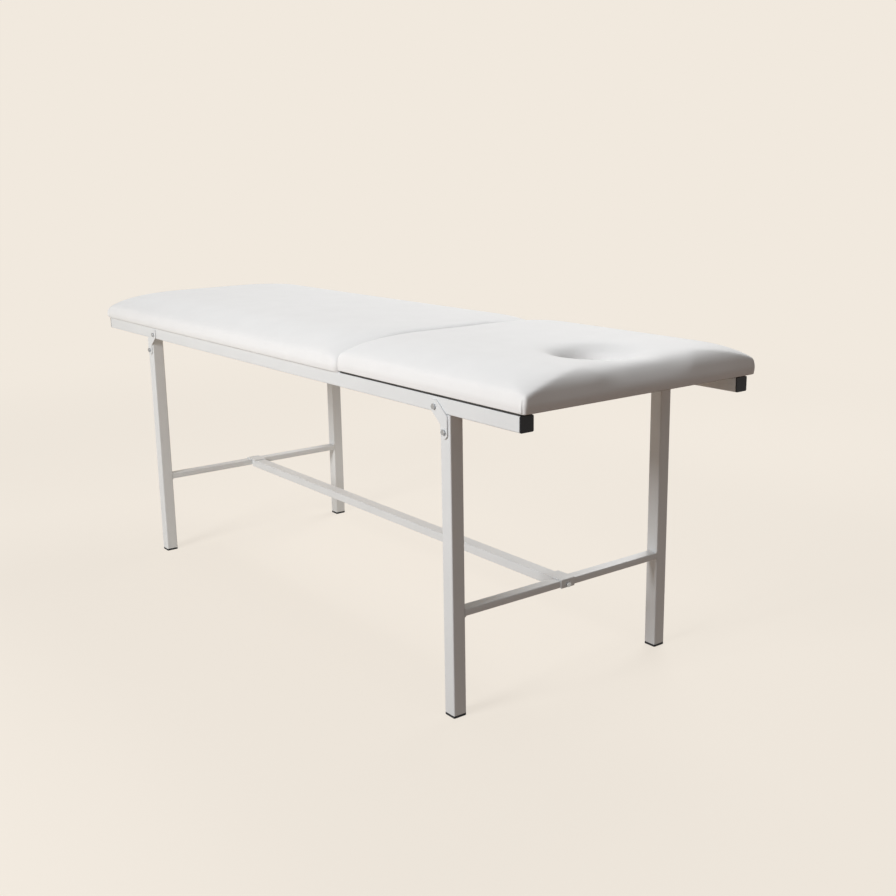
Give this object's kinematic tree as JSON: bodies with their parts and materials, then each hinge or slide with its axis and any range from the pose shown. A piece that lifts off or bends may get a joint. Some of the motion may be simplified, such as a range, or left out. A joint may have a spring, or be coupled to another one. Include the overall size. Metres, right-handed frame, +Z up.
{
  "type": "treatment couch",
  "caption": "Padded treatment couch on an open square-tube frame, with a hinged head section that has a face opening.",
  "frame": {"origin": "on the floor, below the middle of the couch's overall box", "axes": "+X towards the head end, +Z up, -Y is the near side in the picture"},
  "size_m": [1.83, 0.602, 0.7],
  "materials": {
    "white_vinyl": "matt coated upholstery vinyl",
    "foam": "open-cell foam, hidden under the cover",
    "plywood": "raw plywood",
    "white_paint": "satin light grey-white powder coat",
    "black_paint": "satin black paint",
    "black_plastic": "moulded polyethylene",
    "zinc_steel": "zinc plated"
  },
  "bodies": {
    "frame": {"foot_cross_rail": "white_paint", "foot_crossbar": "white_paint", "foot_end_cross_rail": "white_paint", "foot_leg_cap_far": "black_plastic", "foot_leg_cap_near": "black_plastic", "foot_leg_far": "white_paint", "foot_leg_near": "white_paint", "foot_leg_plate_far": "white_paint", "foot_leg_plate_near": "white_paint", "foot_rail_plug_far": "black_plastic", "foot_rail_plug_near": "black_plastic", "foot_saddle": "white_paint", "head_cross_rail": "white_paint", "head_crossbar": "white_paint", "head_leg_cap_far": "black_plastic", "head_leg_cap_near": "black_plastic", "head_leg_far": "white_paint", "head_leg_near": "white_paint", "head_leg_plate_far": "white_paint", "head_leg_plate_near": "white_paint", "head_rail_plug_far": "black_plastic", "head_rail_plug_near": "black_plastic", "head_saddle": "white_paint", "hinge_frame_leaf_far": "zinc_steel", "hinge_frame_leaf_near": "zinc_steel", "hinge_pins": "zinc_steel", "leg_plate_bolts": "zinc_steel", "main_board": "plywood", "main_cover": "white_vinyl", "main_foam": "foam", "main_fold_foam": "foam", "middle_cross_rail": "white_paint", "prop_rack_far": "white_paint", "prop_rack_near": "white_paint", "side_rail_far": "white_paint", "side_rail_near": "white_paint", "stretcher": "white_paint", "stretcher_bolts": "zinc_steel", "stretcher_end_blocks": "zinc_steel"},
    "head_section": {"head_board": "plywood", "head_cover": "white_vinyl", "head_end_bar": "black_paint", "head_foam": "foam", "head_fold_foam": "foam", "head_hinge_bar": "black_paint", "head_prop_bar": "black_paint", "head_side_bar_far": "black_paint", "head_side_bar_near": "black_paint", "hinge_head_leaf_far": "zinc_steel", "hinge_head_leaf_near": "zinc_steel", "prop_bracket_far": "black_paint", "prop_bracket_near": "black_paint"},
    "prop": {"prop_arm_far": "black_paint", "prop_arm_near": "black_paint", "prop_rod": "black_paint"}
  },
  "joints": [
    {"name": "head_raise", "type": "hinge", "parent": "frame", "child": "head_section", "pos_m": [0.329, 0, 0.626], "axis": [0, -1, 0], "range_deg": [0, 50], "deforming": ["main_cover", "main_fold_foam", "head_cover", "head_fold_foam"]},
    {"name": "prop_fold", "type": "hinge", "parent": "head_section", "child": "prop", "pos_m": [0.494, 0, 0.616], "axis": [0, -1, 0], "range_deg": [-100, 0]}
  ],
  "couplings": [
    {"joint": "prop_fold", "follows": "head_raise", "ratio": -2}
  ]
}
